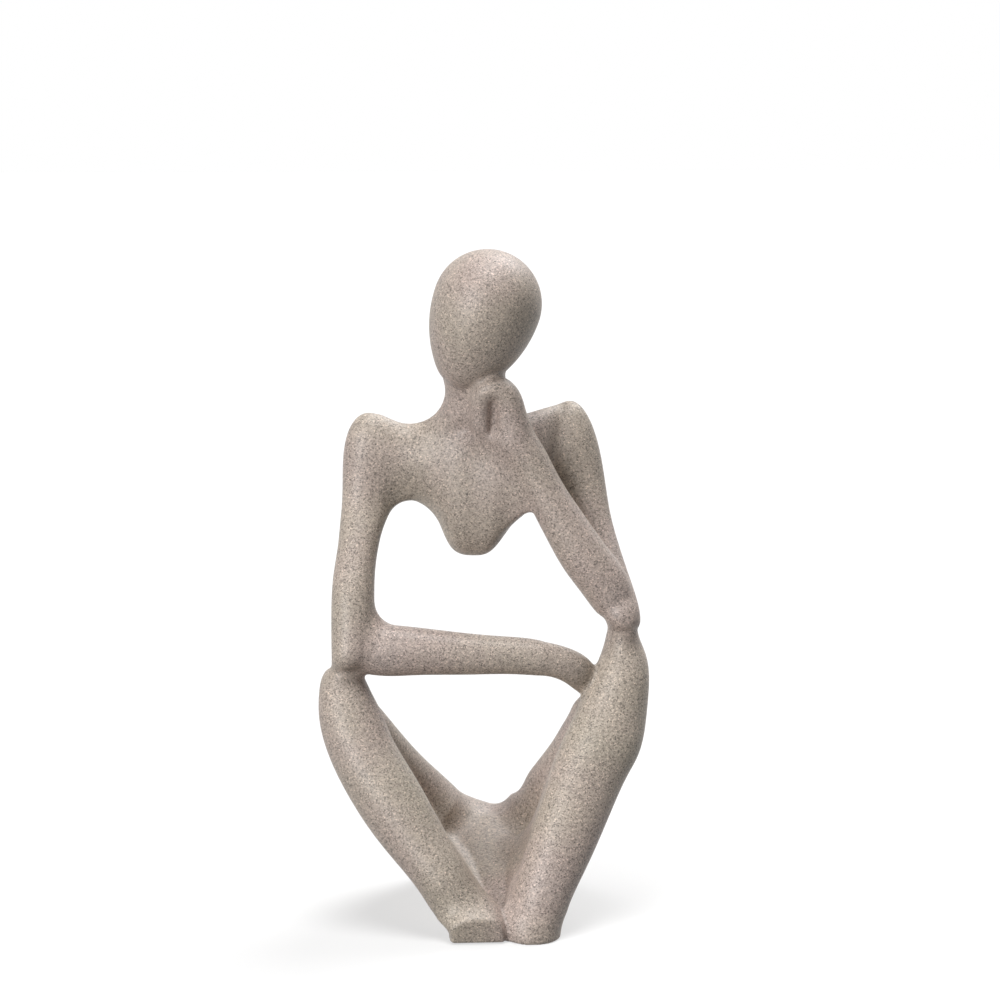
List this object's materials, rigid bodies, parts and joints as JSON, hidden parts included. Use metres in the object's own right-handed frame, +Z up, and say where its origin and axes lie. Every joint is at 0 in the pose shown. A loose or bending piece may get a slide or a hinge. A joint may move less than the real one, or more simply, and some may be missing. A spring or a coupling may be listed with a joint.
{
  "type": "seated figure ornament",
  "caption": "Abstract seated figure in sandstone finish, its egg-shaped head resting on a fist and the other forearm laid across the lap to the far knee.",
  "frame": {"origin": "centre of the bounding box in plan, on the flat underside that rests on the table", "axes": "+Z up through the head; the figure faces -Y and its own right side is at -X"},
  "size_m": [0.0614, 0.0562, 0.1245],
  "materials": {
    "sandstone": "fine speckled sandstone effect, faintly satin",
    "pin_steel": "plain drawn rod"
  },
  "bodies": {
    "root": {"head": "sandstone", "torso": "sandstone", "right_upper_arm": "sandstone", "left_upper_arm": "sandstone", "right_forearm": "sandstone", "left_forearm": "sandstone", "right_hand": "sandstone", "left_hand": "sandstone", "seat": "sandstone", "right_thigh": "sandstone", "left_thigh": "sandstone", "right_shin": "sandstone", "left_shin": "sandstone", "right_foot": "sandstone", "left_foot": "sandstone", "neck_pin": "pin_steel", "shoulder_pins": "pin_steel", "elbow_pins": "pin_steel", "wrist_pins": "pin_steel", "waist_pins": "pin_steel", "knee_pins": "pin_steel", "hip_pins": "pin_steel", "ankle_pins": "pin_steel"}
  },
  "joints": []
}
